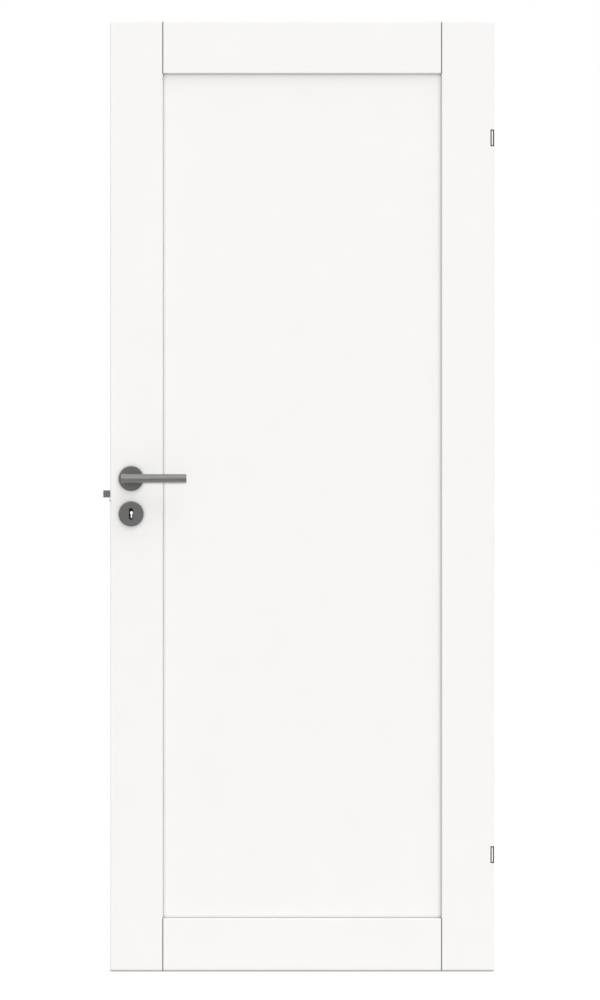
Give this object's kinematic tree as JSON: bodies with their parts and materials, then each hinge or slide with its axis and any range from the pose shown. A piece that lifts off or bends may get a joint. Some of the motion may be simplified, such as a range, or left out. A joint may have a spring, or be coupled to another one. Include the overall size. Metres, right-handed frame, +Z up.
{
  "type": "interior door leaf",
  "caption": "White single-panel interior door leaf with round bar levers, keyhole roses, a mortise lock with latch and dead bolt, and snap hinge sockets in its edge.",
  "frame": {"origin": "on the flat outer face of the lower hinge plate, in the middle of the leaf's thickness and 250 mm above the bottom edge of the leaf", "axes": "+Z up, +X out of the hinge edge (to the right as pictured), the pictured side faces -Y"},
  "size_m": [0.8406, 0.151, 2.04],
  "materials": {
    "white_paint": "smooth satin white paint",
    "satin_steel": "dark satin stainless steel",
    "bolt_steel": "nickel plated steel",
    "lock_steel": "zinc plated steel",
    "hinge_steel": "black coated steel",
    "black_plastic": "matt black",
    "white_plastic": "natural white nylon"
  },
  "bodies": {
    "leaf": {"lock_stile": "white_paint", "hinge_stile": "white_paint", "top_rail": "white_paint", "bottom_rail": "white_paint", "panel": "white_paint", "lock_case": "lock_steel", "lock_face_plate": "satin_steel", "front_rose": "satin_steel", "front_rose_base": "black_plastic", "front_keyhole_rose": "satin_steel", "front_keyhole_rose_base": "black_plastic", "back_rose": "satin_steel", "back_rose_base": "black_plastic", "back_keyhole_rose": "satin_steel", "back_keyhole_rose_base": "black_plastic", "upper_hinge_housing": "hinge_steel", "upper_hinge_clip": "white_plastic", "lower_hinge_housing": "hinge_steel", "lower_hinge_clip": "white_plastic"},
    "levers": {"front_lever": "satin_steel", "back_lever": "satin_steel", "spindle": "lock_steel", "lock_hub": "lock_steel"},
    "latch": {"latch_bolt": "bolt_steel"},
    "bolt": {"dead_bolt": "bolt_steel"}
  },
  "joints": [
    {"name": "lever_turn", "type": "hinge", "parent": "leaf", "child": "levers", "pos_m": [-0.78, 0, 0.808], "axis": [0, 1, 0], "range_deg": [0, 45], "stiffness_Nm_per_rad": 1, "springref_deg": -45.84},
    {"name": "latch_slide", "type": "slide", "parent": "leaf", "child": "latch", "axis": [1, 0, 0], "range_m": [0, 0.014]},
    {"name": "dead_bolt_slide", "type": "slide", "parent": "leaf", "child": "bolt", "axis": [-1, 0, 0], "range_m": [0, 0.012]}
  ],
  "couplings": [
    {"joint": "latch_slide", "follows": "lever_turn", "m_per_rad": 0.0178}
  ]
}
